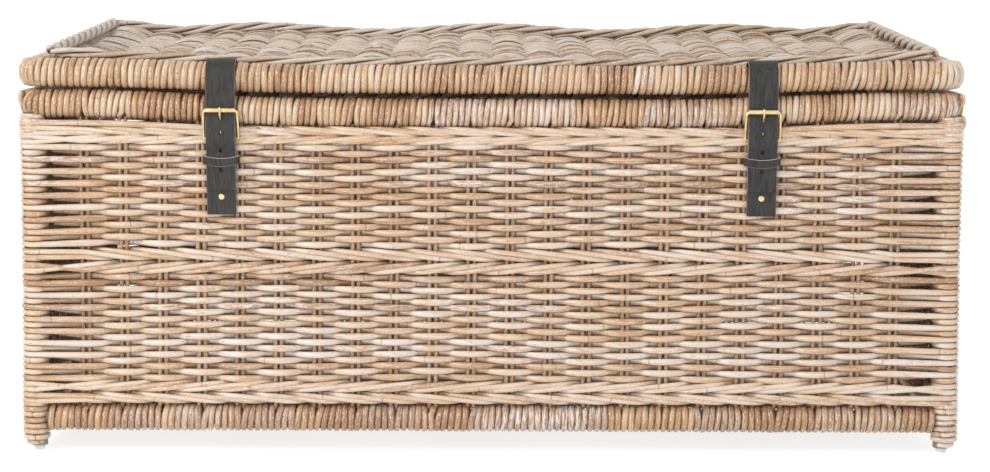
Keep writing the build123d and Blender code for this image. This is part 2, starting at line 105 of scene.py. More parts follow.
# the trunk grows wider by this share towards the foot, from this height down
FOOT_SPREAD = 0.0055
FOOT_SPREAD_TOP = 250.0
LID_STAKE_PITCH = 38.2
LID_FIRST_STAKE = -439.3
LID_ROW_PITCH = 4.5
BASE_STAKE_PITCH = 42.0
BASE_ROW_PITCH = 6.6
STRAP_T = 2.4
BASE_STRAP_T = 2.2
EYE_R = 2.9
STRAP_FLAT_Y = -250.6
BASE_STRAP_Y = -247.9


def smooth(t):
    t = np.clip(t, 0, 1)
    return t * t * (3 - 2 * t)


def sag_at(x, sag):
    """How far a front rail hangs below its ends at x."""
    return sag * smooth((SAG_OUTER - np.abs(x)) / (SAG_OUTER - SAG_INNER))


def back_border_z(x):
    """The back border's line: a slow wave between two raised ends."""
    end = smooth((np.abs(x) - 370) / 95)
    return BORDER_Z + 3.6 * np.cos(TAU * x / 285) * (1 - end) + 6.0 * end


# ---- strands: tubes of cane gathered into one mesh ----
class Cane:
    """Gathers strands of cane, then makes one mesh of them with their grain and tone."""

    def __init__(self):
        self.co, self.grain, self.look = [], [], []
        self.loops, self.starts = [], []
        self.n_co = 0
        self.n_loop = 0

    def _faces(self, index):
        """index is faces by corners, all with the same number of corners."""
        count, corners = index.shape
        self.loops.append(index.ravel())
        self.starts.append(self.n_loop + np.arange(count) * corners)
        self.n_loop += count * corners

    def strand(self, path, out, w, h, tone, wash=0.0, sides=7, blunt=0.8):
        """One strand: half width w across out, half thickness h along out."""
        path = np.asarray(path, float)
        n = len(path)
        step = np.gradient(path, axis=0)
        step /= np.linalg.norm(step, axis=1)[:, None] + 1e-9
        out = np.broadcast_to(np.asarray(out, float), path.shape)
        side = np.cross(step, out)
        side /= np.linalg.norm(side, axis=1)[:, None] + 1e-9
        up = np.cross(side, step)
        ends = np.ones(n)
        ends[0] = ends[-1] = blunt
        w = np.broadcast_to(np.asarray(w, float), n) * ends
        h = np.broadcast_to(np.asarray(h, float), n) * ends
        angle = np.arange(sides) * TAU / sides
        a = np.cos(angle)[None, :] * w[:, None]
        b = np.sin(angle)[None, :] * h[:, None]
        co = path[:, None, :] + side[:, None, :] * a[:, :, None] + up[:, None, :] * b[:, :, None]
        run = np.concatenate([[0], np.cumsum(np.linalg.norm(np.diff(path, axis=0), axis=1))])
        seed = rng.uniform(0, 900, 3)
        grain = np.empty((n, sides, 3))
        grain[:, :, 0] = run[:, None] + seed[0]
        grain[:, :, 1] = a + seed[1]
        grain[:, :, 2] = b + seed[2]
        look = np.empty((n, sides, 3))
        look[:, :, 0] = np.broadcast_to(np.asarray(tone, float), n)[:, None]
        look[:, :, 1] = np.broadcast_to(np.asarray(wash, float), n)[:, None]
        # third channel: the strand's outer or inner side, used for the painted shade on the inner side
        look[:, :, 2] = np.sin(angle)[None, :]
        self.co.append(co.reshape(-1, 3))
        self.grain.append(grain.reshape(-1, 3))
        self.look.append(look.reshape(-1, 3))
        i = np.arange(n - 1)[:, None] * sides
        j = np.arange(sides)[None, :]
        k = (j + 1) % sides
        quads = np.stack([i + j, i + sides + j, i + sides + k, i + k], axis=-1).reshape(-1, 4)
        self._faces(quads + self.n_co)
        self._faces((j + self.n_co).astype(int))
        self._faces(j[:, ::-1] + self.n_co + (n - 1) * sides)
        self.n_co += n * sides

    def build(self, name, body, slot, material, replaces):
        co = np.concatenate(self.co)
        if body == "trunk":
            co[:, 0] *= 1 + FOOT_SPREAD * smooth((FOOT_SPREAD_TOP - co[:, 2]) / FOOT_SPREAD_TOP)
        co /= 1000
        loops = np.concatenate(self.loops)
        starts = np.concatenate(self.starts)
        mesh = bpy.data.meshes.new(name)
        mesh.vertices.add(len(co))
        mesh.vertices.foreach_set("co", co.astype(np.float32).ravel())
        mesh.loops.add(len(loops))
        mesh.loops.foreach_set("vertex_index", loops.astype(np.int32))
        mesh.polygons.add(len(starts))
        mesh.polygons.foreach_set("loop_start", starts.astype(np.int32))
        mesh.update(calc_edges=True)
        mesh.shade_smooth()
        for label, values in (("grain", self.grain), ("look", self.look)):
            attribute = mesh.attributes.new(label, "FLOAT_VECTOR", "POINT")
            attribute.data.foreach_set("vector", np.concatenate(values).astype(np.float32).ravel())
        mesh.materials.append(material)
        piece = bpy.data.objects.new(name, mesh)
        bpy.context.scene.collection.objects.link(piece)
        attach(piece, body)
        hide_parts(*replaces)
        return piece


# ---- materials ----
class Shader:
    """Short calls for node set-ups."""

    def __init__(self, name):
        self.material = bpy.data.materials.new(name)
        self.material.use_nodes = True
        self.tree = self.material.node_tree
        self.bsdf = self.tree.nodes["Principled BSDF"]

    def link(self, a, b):
        self.tree.links.new(a, b)

    def put(self, socket, value):
        if isinstance(value, bpy.types.NodeSocket):
            self.link(value, socket)
        else:
            socket.default_value = value

    def attribute(self, name):
        node = self.tree.nodes.new("ShaderNodeAttribute")
        node.attribute_name = name
        return node.outputs["Vector"]

    def position(self):
        return self.tree.nodes.new("ShaderNodeTexCoord").outputs["Object"]

    def split(self, vector):
        node = self.tree.nodes.new("ShaderNodeSeparateXYZ")
        self.link(vector, node.inputs[0])
        return node.outputs

    def scaled(self, vector, scale):
        node = self.tree.nodes.new("ShaderNodeMapping")
        self.link(vector, node.inputs["Vector"])
        node.inputs["Scale"].default_value = scale
        return node.outputs[0]

    def noise(self, vector, scale=1.0, detail=3.0, rough=0.55):
        node = self.tree.nodes.new("ShaderNodeTexNoise")
        self.link(vector, node.inputs["Vector"])
        node.inputs["Scale"].default_value = scale
        node.inputs["Detail"].default_value = detail
        node.inputs["Roughness"].default_value = rough
        return node.outputs[0]

    def math(self, kind, a, b=0.0):
        node = self.tree.nodes.new("ShaderNodeMath")
        node.operation = kind
        self.put(node.inputs[0], a)
        self.put(node.inputs[1], b)
        return node.outputs[0]

    def fit(self, value, a, b, c=0.0, d=1.0):
        node = self.tree.nodes.new("ShaderNodeMapRange")
        self.link(value, node.inputs["Value"])
        for label, number in (("From Min", a), ("From Max", b), ("To Min", c), ("To Max", d)):
            node.inputs[label].default_value = number
        return node.outputs[0]

    def ramp(self, value, stops):
        node = self.tree.nodes.new("ShaderNodeValToRGB")
        while len(node.color_ramp.elements) < len(stops):
            node.color_ramp.elements.new(0.5)
        for element, (place, colour) in zip(node.color_ramp.elements, stops):
            element.position = place
            element.color = (*colour, 1)
        self.link(value, node.inputs[0])
        return node.outputs[0]

    def mix(self, share, a, b, kind="MIX"):
        node = self.tree.nodes.new("ShaderNodeMix")
        node.data_type = "RGBA"
        node.blend_type = kind
        self.put(node.inputs[0], share)
        self.put(node.inputs[6], a if isinstance(a, bpy.types.NodeSocket) else (*a, 1))
        self.put(node.inputs[7], b if isinstance(b, bpy.types.NodeSocket) else (*b, 1))
        return node.outputs[2]

    def bump(self, height, strength, distance):
        node = self.tree.nodes.new("ShaderNodeBump")
        node.inputs["Strength"].default_value = strength
        node.inputs["Distance"].default_value = distance
        self.link(height, node.inputs["Height"])
        self.link(node.outputs[0], self.bsdf.inputs["Normal"])

    def set(self, **values):
        for label, value in values.items():
            self.put(self.bsdf.inputs[label.replace("_", " ")], value)


def cane_material(name, deep, tan, pale, grey, gloss, level, joint_gap, painted_shade):
    """Rattan skin: streaks along each strand, washed patches, dark joints and specks, with painted shade on
    each strand's inner side.
    """
    s = Shader(name)
    grain = s.attribute("grain")
    look = s.split(s.attribute("look"))
    fibre = s.noise(s.scaled(grain, (0.03, 1.1, 1.1)), detail=4.0, rough=0.65)
    patch = s.noise(s.scaled(grain, (0.022, 0.12, 0.12)), detail=2.0)
    fine = s.noise(s.scaled(grain, (0.09, 3.2, 3.2)), detail=2.0)
    tone = s.math("ADD", look[0], s.fit(patch, 0.3, 0.7, -0.28, 0.28))
    tone = s.math("ADD", tone, s.fit(fibre, 0.3, 0.7, -0.3, 0.3))
    colour = s.ramp(tone, [(0.0, deep), (0.32, tan), (0.62, pale), (1.0, grey)])
    wash_noise = s.noise(s.scaled(grain, (0.09, 0.5, 0.5)), detail=5.0, rough=0.7)
    area = s.noise(s.scaled(s.position(), (6.0, 6.0, 11.0)), detail=2.0)
    wash = s.math("MULTIPLY", s.fit(wash_noise, 0.45, 0.58), look[1])
    wash = s.math("MULTIPLY", wash, s.fit(area, 0.38, 0.58, 0.15, 1.3))
    colour = s.mix(wash, colour, (0.63, 0.565, 0.53))
    streak = s.fit(fine, 0.2, 0.42, 0.62, 1.0)
    dark = s.mix(1.0, colour, s.ramp(streak, [(0.0, (0.0,) * 3), (1.0, (1.0,) * 3)]), "MULTIPLY")
    colour = s.mix(0.75, colour, dark)
    speck = s.fit(s.noise(s.scaled(grain, (0.13, 0.5, 0.5)), detail=1.0), 0.70, 0.76)
    colour = s.mix(s.math("MULTIPLY", speck, 0.7), colour, (0.16, 0.085, 0.04))
    fleck = s.fit(s.noise(s.scaled(grain, (0.3, 0.7, 0.7)), detail=3.0, rough=0.7), 0.56, 0.62, 0.0, 0.6)
    colour = s.mix(fleck, colour, (0.68, 0.60, 0.52))
    # a rattan joint: a thin dark ring, at its own place on every strand
    run = s.math("MULTIPLY", s.split(grain)[0], 1 / joint_gap)
    joint = s.math("ABSOLUTE", s.math("SUBTRACT", s.math("FRACT", run), 0.5))
    ring = s.fit(joint, 0.3 / joint_gap, 1.3 / joint_gap, 0.55, 0.0)
    colour = s.mix(ring, colour, (0.2, 0.115, 0.06))
    # painted shade: each strand is darkened on its inner side, where it lies against the wall or the pole
    colour = s.mix(s.fit(look[2], 0.25, -0.3, 0.0, painted_shade), colour, (0.15, 0.088, 0.045))
    rough = s.fit(fibre, 0.3, 0.7, gloss - 0.07, gloss + 0.13)
    s.set(Base_Color=colour, Roughness=rough)
    s.bsdf.inputs["Specular IOR Level"].default_value = level
    height = s.math("ADD", s.math("MULTIPLY", fibre, 0.6), s.math("MULTIPLY", fine, 0.4))
    s.bump(height, 0.3, 0.0006)
    return s.material


WEAVE = cane_material(
    "weave_cane", (0.31, 0.165, 0.075), (0.48, 0.288, 0.15), (0.565, 0.405, 0.262), (0.61, 0.51, 0.422),
    gloss=0.24, level=0.75, joint_gap=260, painted_shade=0.45,
)
WRAP = cane_material(
    "wrap_cane", (0.29, 0.15, 0.068), (0.45, 0.264, 0.13), (0.53, 0.372, 0.23), (0.60, 0.50, 0.41),
    gloss=0.21, level=0.85, joint_gap=1100, painted_shade=0.72,
)
LID_CANE = cane_material(
    "lid_cane", (0.18, 0.108, 0.06), (0.41, 0.285, 0.18), (0.50, 0.395, 0.295), (0.55, 0.475, 0.405),
    gloss=0.42, level=0.5, joint_gap=260, painted_shade=0.85,
)


def tones(count, low=0.15, high=0.95):
    return low + (high - low) * rng.beta(1.3, 1.2, count)


# ---- walls: u runs along the wall, n outward from the middle, z up ----
def on_wall(wall, u, n, z):
    """Points of a wall in the row frame."""
    u, n, z = np.broadcast_arrays(np.asarray(u, float), n, z)
    x, y = {"front": (u, -n), "right": (n, u), "back": (-u, n), "left": (-n, -u)}[wall]
    return np.stack([x, y, z], axis=-1)


WALLS = {
    "front": (LONG_STAKES, HALF_Y - STAKE_INSET, POST_X, POST_Y),
    "right": (SHORT_STAKES, HALF_X - STAKE_INSET, POST_Y, POST_X),
    "back": (-LONG_STAKES[::-1], HALF_Y - STAKE_INSET, POST_X, POST_Y),
    "left": (SHORT_STAKES, HALF_X - STAKE_INSET, POST_Y, POST_X),
}
BANDS = [(58.2, 70.8, 4.6, 1), (199.4, 213.6, 5.4, -1), (336.6, 345.6, 3.6, -1)]
ROWS = np.concatenate([77 + 6.39 * (np.arange(18) + 0.5), 221 + 6.53 * (np.arange(17) + 0.5)])
ROW_TONE = tones(len(ROWS))
WASHES, WASH_ODDS = [0.1, 0.45, 1.0], [0.32, 0.33, 0.35]


def wander(u, z):
    """How far hand-woven rows stray from level, the same for neighbouring rows."""
    return 0.9 * np.sin(u / 97 + z / 41) + 0.6 * np.sin(u / 43 - z / 29)


def corner_arc(wall, end, z, start_deg, stop_deg):
    """A strand's points round a post, from the wall's face towards the next wall."""
    _, _, post_u, post_n = WALLS[wall]
    angle = np.radians(np.linspace(start_deg, stop_deg, 7 if stop_deg - start_deg < 80 else 12))
    u = end * (post_u + LOOP_R * np.sin(angle))
    n = post_n + LOOP_R * np.cos(angle)
    outward = on_wall(wall, end * np.sin(angle), np.cos(angle), 0.0)
    return on_wall(wall, u, n, z), outward


def wall_strand(cane, wall, u, n, z, r, tone, wash, ends):
    """A weaver across the wall, carried round the post at the ends that ask for it."""
    outward = on_wall(wall, 0.0, 1.0, 0.0)[None, :].repeat(len(u), 0)
    path = on_wall(wall, u, n, z)
    r = np.broadcast_to(r, len(u)).copy()
    tone = np.broadcast_to(tone, len(u))
    for end, how in ends.items():
        if how is None:
            continue
        start, ring_z = how
        arc, arc_out = corner_arc(wall, end, ring_z, start, 46)
        if end > 0:
            path, outward = np.concatenate([path, arc]), np.concatenate([outward, arc_out])
            r = np.concatenate([r, np.full(len(arc), LOOP_STRAND_R)])
            tone = np.append(tone, np.full(len(arc), tone[-1]))
        else:
            path = np.concatenate([arc[::-1], path])
            outward = np.concatenate([arc_out[::-1], outward])
            r = np.concatenate([np.full(len(arc), LOOP_STRAND_R), r])
            tone = np.append(np.full(len(arc), tone[0]), tone)
    cane.strand(path, outward, r, np.minimum(r * 0.9, 3.0), tone, wash)


def weave_row(cane, wall, row, z):
    """One plain-weave row: in front of every other stake pair, behind the rest."""
    stakes, plane, post_u, _ = WALLS[wall]
    first, last = stakes[0], stakes[-1]
    samples = np.arange(int(round((last - first) / STAKE_PITCH)) * 7 + 1) / 7
    u = first + samples * STAKE_PITCH
    wave = np.cos(math.pi * (samples + row))
    wave = np.sign(wave) * np.abs(wave) ** 0.75
    n = plane + WEAVE_AMP * wave
    marks = np.arange(0, samples[-1] + 4, 3)
    drift = np.interp(samples, marks, rng.normal(0, 0.16, len(marks)))
    level = z + drift + wander(u, z)
    if wall == "front":
        r = 3.02 + np.where(wave > 0, 0.95, 0.8) * np.abs(wave) ** 0.9 + rng.normal(0, 0.1)
    else:
        r = np.full(len(wave), 4.35)
    tone = ROW_TONE[row] + rng.normal(0, 0.09)
    wash_share = 0.85 if z < 200 else 1.0
    wash = wash_share * rng.choice(WASHES, p=WASH_ODDS)
    ends = {}
    for end, state in ((-1, wave[0]), (1, wave[-1])):
        gap = state < 0 and rng.random() < 0.5
        ends[end] = None if gap else ((-6 if state > 0 else -48), z)
        if gap:
            arc, arc_out = corner_arc(wall, end, z, -115, 46)
            cane.strand(arc, arc_out, 3.25, 2.9, ROW_TONE[row] + rng.normal(0, 0.15), wash)
            tip_u = np.array([end * (post_u - 19.0)])
            tip_n = np.array([plane - WEAVE_AMP - 3.0])
            tips = ((u, tip_u), (n, tip_n), (level, z), (r, 1.5))
            u, n, level, r = (np.append(a, b) if end > 0 else np.append(b, a) for a, b in tips)
    # a cane is shorter than the wall, so a row changes strand behind a stake now and then
    cuts = []
    if len(stakes) > 12:
        hidden = [k for k in range(3, len(stakes) - 3) if (k + row) % 2 == 1]
        cuts = sorted(rng.choice(hidden, size=rng.integers(1, 3), replace=False))
    offset = 1 if ends[-1] is None else 0
    edges = [0] + [int(k * 7) + offset for k in cuts] + [len(u) - 1]
    for i, (a, b) in enumerate(zip(edges[:-1], edges[1:])):
        part = slice(max(a - 2, 0) if i else 0, min(b + 3, len(u)))
        part_ends = {-1: ends[-1] if i == 0 else None, 1: ends[1] if b == len(u) - 1 else None}
        shift = 0.0 if i == 0 else rng.normal(0, 0.16)
        wall_strand(cane, wall, u[part], n[part], level[part], r[part], tone + shift, wash, part_ends)
        wash = wash_share * rng.choice(WASHES, p=WASH_ODDS)


def corner_strands(cane, wall):
    """On the sagging front, a strand that rises from the top band to each corner."""
    _, plane, post_u, _ = WALLS[wall]
    for end in (-1, 1):
        u = np.linspace(215, post_u - 6, 40)
        z = BODY_RIM_Z - RIM_R - 3.6 - sag_at(u, BODY_SAG)
        n = plane + 7.4 - 12.0 * (1 - smooth((u - 215) / 40))
        if end < 0:
            u, z, n = -u[::-1], z[::-1], n[::-1]
        ring_z = BODY_RIM_Z - RIM_R - 3.6
        wall_strand(cane, wall, u, n, z, 3.3, rng.uniform(0.25, 0.6), 0.5, {end: (-6, ring_z)})


def wale_row(cane, wall, z, reach, slope):
    """A three-rod wale: each strand lies over two stake pairs and under one, rising or falling."""
    stakes, plane, _, _ = WALLS[wall]
    total = int(round((stakes[-1] - stakes[0]) / STAKE_PITCH))
    samples = np.arange(total * 8 + 1) / 8
    u = stakes[0] + samples * STAKE_PITCH
    for rod in range(3):
        phase = (samples - rod + 30) % 3
        near = np.minimum(phase, 3 - phase)
        dip = np.exp(-((near / 0.42) ** 2))
        n = plane + 6.6 - 12.2 * dip - 0.9 * (phase / 3)
        level = z + slope * reach * (2 * smooth(phase / 3) - 1) * (1 - dip * 0.3)
        marks = np.arange(0, total + 4, 3)
        tone_line = np.interp(samples, marks + rod, tones(len(marks)))
        ends = {}
        for end, state in ((-1, dip[0]), (1, dip[-1])):
            ring = z + (-3.1 if rod % 2 else 3.1)
            ends[end] = None if state > 0.5 else (-6, ring)
        r = 3.0 - 0.35 * dip + (0.0 if wall == "front" else 0.9)
        wall_strand(cane, wall, u, n, level, r, tone_line, 0.45, ends)


def stakes_of(cane, wall):
    """A wall's upright canes, in pairs."""
    stakes, plane, _, _ = WALLS[wall]
    z_low, z_high = RAIL_Z + 4, BODY_RIM_Z - RIM_R + 4
    for u in stakes:
        top = z_high - (sag_at(u, BODY_SAG) if wall == "front" else 0.0)
        z = np.linspace(z_low, top, 16)
        tone = rng.uniform(-0.05, 0.3)
        for side in (-1, 1):
            wobble = np.interp(z, np.linspace(z_low, top, 5), rng.normal(0, 0.45, 5))
            path = on_wall(wall, u + side * STAKE_GAP + wobble, plane, z)
            outward = on_wall(wall, 0.0, 1.0, 0.0)
            cane.strand(path, outward, STAKE_R, STAKE_R, tone + rng.normal(0, 0.06), 0.1, 6)


def woven_wall(name):
    """One wall: its stakes, rows and bands, as one piece."""
    cane = Cane()
    stakes_of(cane, name)
    for row, z in enumerate(ROWS):
        weave_row(cane, name, row, z)
    for low, high, reach, slope in BANDS:
        wale_row(cane, name, low, reach, -slope)
        wale_row(cane, name, high, reach, slope)
    if name == "front":
        corner_strands(cane, name)
    else:
        weave_row(cane, name, len(ROWS) - 1, BODY_RIM_Z - RIM_R - 3.6)
    return cane.build(f"{name}_weave", "trunk", "rattan_weave", WEAVE, [f"{name}_panel"])


# ---- wraps: cane wound closely round a pole, in lengths of differing tone ----
def wound(
    cane, length, centre, axis_out, pole_r, pitch, stakes=(), nick=0.0,
    thick=2.7, low=0.05, high=0.75, square=False,
):
    """Winds cane along a line; centre(s) and axis_out(s) give the line and its outward side."""
    s = 0.0
    turns = 14
    while s < length - pitch * 0.6:
        loops = int(min(rng.integers(3, 15), max(1, round((length - s) / pitch))))
        count = loops * turns + 1
        turn = np.arange(count) / turns
        theta = TAU * turn - 0.72 * TAU
        line = s + turn * pitch
        along = line.copy()
        if len(stakes):
            gap = along[:, None] - np.asarray(stakes)[None, :]
            nearest = gap[np.arange(count), np.abs(gap).argmin(1)]
            push = np.clip(np.sin(theta) * np.sign(nick), 0, 1) ** 1.5
            along += abs(nick) * np.sign(nearest) * np.exp(-np.abs(nearest) / 8.0) * push
        lean = np.interp(turn, np.arange(loops + 2), rng.normal(0, 0.75, loops + 2))
        along = np.clip(along + lean * np.sin(theta), 0, length)
        out = axis_out(along)
        radial = out * np.cos(theta)[:, None] + np.array([0, 0, 1.0]) * np.sin(theta)[:, None]
        radius = pole_r - thick + np.interp(turn, np.arange(loops + 2), rng.normal(-0.1, 0.28, loops + 2))
        end = smooth(1 - np.minimum(along, length - along) / 30) if square else 0.0
        radius = radius * (1 + end * ((np.abs(np.cos(theta)) ** 5 + np.abs(np.sin(theta)) ** 5) ** -0.2 - 1))
        path = centre(along) + radial * radius[:, None]
        w = pitch * np.interp(turn, np.arange(loops + 2), rng.normal(0.52, 0.025, loops + 2))
        tone = low + (high - low) * rng.beta(1.2, 1.5)
        tone = tone + np.interp(turn, np.arange(loops + 2), rng.normal(0, 0.13, loops + 2))
        wash = rng.choice([0.0, 0.3, 0.9], p=[0.45, 0.3, 0.25])
        cane.strand(path, radial, w, thick, tone, wash, 6)
        s += loops * pitch


def rim_line(z, sag, front, bend=6.0):
    """A long rail's line with its corners turned: its length, centre and outward functions."""
    sign = -1.0 if front else 1.0
    straight = 2 * (RIM_X - bend)
    outside = bend + 12.0
    quarter = outside * math.pi / 2
    # the sleeve carries on a little past each corner
    tail = RIM_R - bend + 1.0

    def parts(s):
        s = np.asarray(s, float)
        along = s - tail - quarter
        before = np.clip(-along, 0, quarter)
        after = np.clip(along - straight, 0, quarter)
        angle = (after - before) / outside
        over = np.clip(tail - s, 0, None) + np.clip(s - tail - 2 * quarter - straight, 0, None)
        return np.clip(along, 0, straight) - straight / 2, angle, over

    def centre(s):
        x, angle, over = parts(s)
        px = x + np.sin(angle) * bend
        depth = RIM_Y - bend + np.cos(angle) * bend - over
        return np.stack([px, sign * depth, z - sag_at(px, sag)], axis=-1)

    def outward(s):
        _, angle, _ = parts(s)
        return np.stack([np.sin(angle), sign * np.cos(angle), np.zeros_like(angle)], axis=-1)

    return straight + 2 * quarter + 2 * tail, centre, outward


def straight_line(side, reach, offset, z):
    """A straight rail's line: its length, centre and outward functions."""

    def centre(s):
        return on_wall(side, np.asarray(s, float) - reach, offset, z)

    def outward(s):
        return on_wall(side, np.zeros_like(np.asarray(s, float)), 1.0, 0.0)

    return 2 * reach, centre, outward


def knots(cane):
    """Cut cane ends that stand out at the front corners of the body's rim."""
    for x, low, high in ((-496.0, 373.0, 387.0), (496.0, 374.0, 387.0), (497.5, 350.0, 364.0)):
        for shift in (-5.5, 0.0):
            z = np.linspace(low, high, 7)
            bow = 2.4 * np.sin(math.pi * (z - low) / (high - low))
            path = np.stack([x + np.sign(x) * (bow - 2.0), np.full(7, -RIM_Y + shift), z], axis=-1)
            cane.strand(path, (np.sign(x), 0, 0), 3.6, 3.4, rng.uniform(0.3, 0.7), 0.2, 8, 0.6)


def rims():
    """The windings of the body's rim and the lid's rim, four each."""
    for name, z, sag, body in (
        ("body_rim", BODY_RIM_Z, BODY_SAG, "trunk"),
        ("lid_rim", LID_RIM_Z, LID_SAG, "lid"),
    ):
        lower = name == "body_rim"
        for side in ("front", "back"):
            length, centre, outward = rim_line(z, sag if side == "front" else 0.0, side == "front")
            marks = LONG_STAKES + length / 2 if lower else ()
            cane = Cane()
            pitch = 6.5 if lower else 7.0
            wound(cane, length, centre, outward, RIM_R, pitch, marks, -2.4 if lower else 0.0, square=True)
            if lower and side == "front":
                knots(cane)
            cane.build(f"{name}_{side}_winding", body, "rattan_wrap", WRAP, [f"{name}_{side}_wrap"])
        reach = span(f"{name}_left_wrap")[1][1]
        for side in ("left", "right"):
            length, centre, outward = straight_line(side, reach, RIM_X, z)
            marks = SHORT_STAKES + reach if lower else ()
            cane = Cane()
            # the side windings take paler tones than the front and back ones: a painted highlight for the
            # light on their tops
            wound(cane, length, centre, outward, RIM_R, 7.0, marks, -2.4 if lower else 0.0, low=0.3, high=1.0)
            cane.build(f"{name}_{side}_winding", body, "rattan_wrap", WRAP, [f"{name}_{side}_wrap"])


def rails():
    """The windings of the four bottom rails."""
    for side in ("front", "back", "left", "right"):
        long_side = side in ("front", "back")
        reach = RAIL_END_X if long_side else RAIL_END_Y
        offset = POST_Y if long_side else POST_X
        reach += 3.0
        length, centre, outward = straight_line(side, reach, offset, RAIL_Z - 0.8)
        marks = WALLS[side][0] + reach
        cane = Cane()
        wound(cane, length, centre, outward, RAIL_R + 0.8, 7.1, marks, 2.4, thick=2.6, low=-0.15, high=0.38)
        cane.build(f"{side}_rail_winding", "trunk", "rattan_wrap", WRAP, [f"{side}_bottom_rail_wrap"])


def posts():
    """Rings round each post at the foot, behind the bands and inside the corners."""
    top = BODY_RIM_Z - RIM_R + 4
    levels = np.concatenate([[9.0, 15.2, 21.4, 27.6, 33.8, 40.0, 46.2, 52.0], ROWS, [55.2, 61.4, 67.6, 73.6]])
    levels = np.concatenate([levels, [195.6, 201.8, 209.6, 216.8, 333.8, 339.6, 345.0, 350.4, 355.4, 360.5]])
    corners = {"front_left": (-1, -1), "front_right": (1, -1), "back_left": (-1, 1), "back_right": (1, 1)}
    for corner, (sx, sy) in corners.items():
        cane = Cane()
        for z in levels:
            if z > top:
                continue
            # the rings behind the wall rows sit deeper, so that the rows cover them
            deep = 0.0 if z < 77 or 190 < z < 220 or z > 332 else 1.1
            deep += 1.2 if z > 359 else 0.0
            radius = POST_R - 3.0 - deep
            rounding = 3.4 if z < 12 else 0.0
            angle = np.linspace(0, TAU, 25) + rng.uniform(0, TAU)
            out = np.stack([np.cos(angle), np.sin(angle), np.zeros(25)], axis=-1)
            path = out * (radius - rounding) + np.array([sx * POST_X, sy * POST_Y, z])
            path[:, 2] += rng.normal(0, 0.25)
            tone = rng.uniform(0.1, 0.95)
            cane.strand(path, out, 3.2, 2.9, tone, rng.choice([0.0, 0.8]), 6)
        cane.build(f"{corner}_post_winding", "trunk", "rattan_wrap", WRAP, [f"{corner}_post_wrap"])


# ---- lid: fine weave over stakes that run front to back, and a twisted border ----
def lid_swell(x, y):
    """Slow rise and fall of the lid's weave, up to the border at its edges."""
    column = np.cos(math.pi * (x + 440) / LID_STAKE_PITCH)
    edge = smooth(1 - np.minimum(BORDER_X - np.abs(x), BORDER_Y - np.abs(y)) / 34)
    side = 6.5 * smooth(1 - (BORDER_X - np.abs(x)) / 60)
    back = (back_border_z(x) - BORDER_Z) * smooth((y - 70) / 120)
    swell = 1.3 * column * np.sin(TAU * y / 104 + x / 300) + 1.7 * np.sin(TAU * y / 128 + np.sin(x / 70))
    return swell + 5.0 * edge + side * (1 - edge * 0.3) + back


def lid_weave():
    """The lid's panel: fine rows over stakes that run front to back."""
    cane = Cane()
    edge_x, edge_y = BORDER_X + 2.5, BORDER_Y + 5.5
    stakes = np.arange(24) * LID_STAKE_PITCH + LID_FIRST_STAKE
    for x in stakes:
        y = np.linspace(-edge_y, edge_y, 60)
        z = LID_WEAVE_Z + lid_swell(np.full(60, x), y) - sag_at(x, LID_SAG) * smooth((-y - 60) / 150)
        path = np.stack([np.full(60, x), y, z - 1.5], axis=-1)
        cane.strand(path, (0, 0, 1.0), 3.4, 3.0, rng.uniform(0.2, 0.6), 0.1, 6)
    samples = np.arange(24 * 6 + 7) / 6 - 0.5
    x = stakes[0] + samples * LID_STAKE_PITCH
    keep = np.abs(x) <= edge_x
    x, samples = x[keep], samples[keep]
    for row in range(int(2 * (edge_y - 2) / LID_ROW_PITCH)):
        y = -edge_y + 2 + (row + 0.5) * LID_ROW_PITCH
        wave = np.cos(math.pi * (samples + row))
        wave = np.sign(wave) * np.abs(wave) ** 0.8
        slack = np.interp(x, np.linspace(-470, 470, 9), rng.normal(0, 0.6, 9))
        sag = sag_at(x, LID_SAG) * smooth((-y - 60) / 150)
        z = LID_WEAVE_Z - 1.5 + 4.7 * wave + lid_swell(x, y) - sag + rng.normal(0, 0.3)
        path = np.stack([x, y + slack, z], axis=-1)
        tone = np.clip(0.62 + rng.normal(0, 0.34), 0, 1)
        cane.strand(path, (0, 0, 1.0), 2.55, 2.1, tone, rng.choice([0.0, 0.8]), 6)
    cane.build("lid_weave", "lid", "rattan_weave", LID_CANE, ["lid_panel"])


def twisted(cane, line, outward, lay, helix_r, r, low=0.35, high=0.95, plies=3):
    """A rope of canes along a line of points, with new strands let in along the way."""
    line = np.asarray(line, float)
    run = np.concatenate([[0], np.cumsum(np.linalg.norm(np.diff(line, axis=0), axis=1))])
    step = np.gradient(line, axis=0)
    step /= np.linalg.norm(step, axis=1)[:, None]
    side = np.cross(step, outward)
    up = np.cross(side, step)
    for strand in range(plies):
        start = 0
        while start < len(line) - 3:
            stop = min(len(line), start + int(rng.integers(26, 60)))
            if len(line) - stop < 8:
                stop = len(line)
            part = slice(start, stop)
            turn = TAU * (run[part] / lay + strand / plies)
            radial = side[part] * np.cos(turn)[:, None] + up[part] * np.sin(turn)[:, None]
            path = line[part] + radial * helix_r
            cane.strand(path, radial, r, r * 0.92, rng.uniform(low, high), 0.4, 7)
            start = stop - 2


